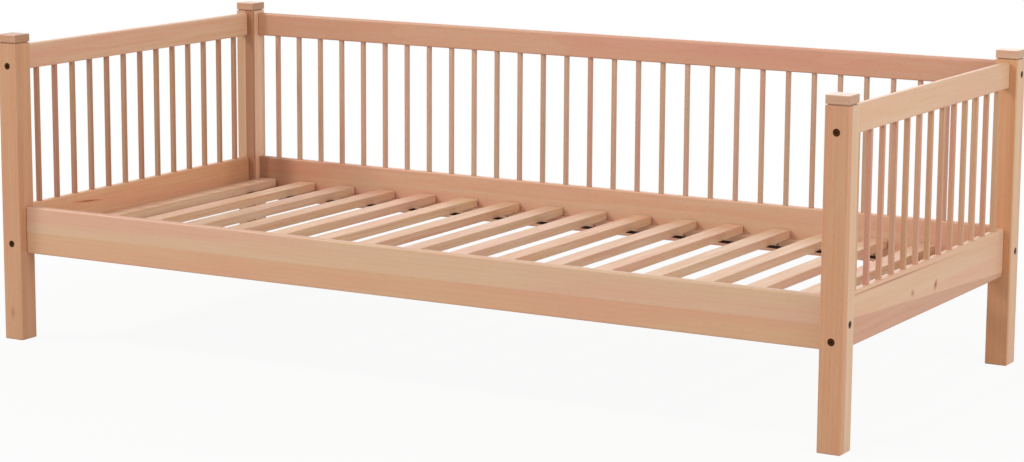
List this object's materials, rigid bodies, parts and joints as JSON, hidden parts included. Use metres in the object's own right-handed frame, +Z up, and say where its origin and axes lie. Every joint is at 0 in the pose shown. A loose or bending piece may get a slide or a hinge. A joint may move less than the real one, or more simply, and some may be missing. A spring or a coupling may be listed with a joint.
{
  "type": "daybed frame",
  "caption": "Solid wood single daybed frame: square posts with capped tops, spindle guards at the back and both ends, an open front and a lift-out slatted base.",
  "frame": {"origin": "on the floor, under the centre of the frame", "axes": "+X along the length of the bed, -Y towards the open front, +Z up"},
  "size_m": [2.08, 0.976, 0.7025],
  "materials": {
    "post_wood": "clear satin lacquer on solid beech",
    "rail_wood": "clear satin lacquer on edge-glued solid beech",
    "spindle_wood": "clear satin lacquer on solid beech",
    "slat_wood": "planed and sanded solid beech",
    "strap_webbing": "black woven polyester webbing",
    "steel": "zinc-plated steel",
    "bronzed_steel": "dark bronze lacquered steel"
  },
  "bodies": {
    "bed_frame": {"post_front_left": "post_wood", "post_front_right": "post_wood", "post_back_left": "post_wood", "post_back_right": "post_wood", "post_cap_front_left": "post_wood", "post_cap_front_right": "post_wood", "post_cap_back_left": "post_wood", "post_cap_back_right": "post_wood", "front_board": "rail_wood", "back_top_rail": "rail_wood", "back_low_rail": "rail_wood", "left_top_rail": "rail_wood", "right_top_rail": "rail_wood", "left_low_rail": "rail_wood", "right_low_rail": "rail_wood", "back_spindles": "spindle_wood", "left_spindles": "spindle_wood", "right_spindles": "spindle_wood", "front_ledger": "rail_wood", "back_ledger": "rail_wood", "bed_bolts": "bronzed_steel", "threaded_inserts": "steel", "locating_dowels": "spindle_wood", "cap_dowels": "spindle_wood", "ledger_screws": "steel"},
    "slat_base": {"slat_01": "slat_wood", "slat_02": "slat_wood", "slat_03": "slat_wood", "slat_04": "slat_wood", "slat_05": "slat_wood", "slat_06": "slat_wood", "slat_07": "slat_wood", "slat_08": "slat_wood", "slat_09": "slat_wood", "slat_10": "slat_wood", "slat_11": "slat_wood", "slat_12": "slat_wood", "slat_13": "slat_wood", "slat_14": "slat_wood", "slat_15": "slat_wood", "slat_16": "slat_wood", "slat_17": "slat_wood", "front_strap": "strap_webbing", "back_strap": "strap_webbing", "strap_staples": "steel"}
  },
  "joints": [
    {"name": "slat_base_lift", "type": "slide", "parent": "bed_frame", "child": "slat_base", "axis": [0, 0, 1], "range_m": [0, 0.5]}
  ]
}
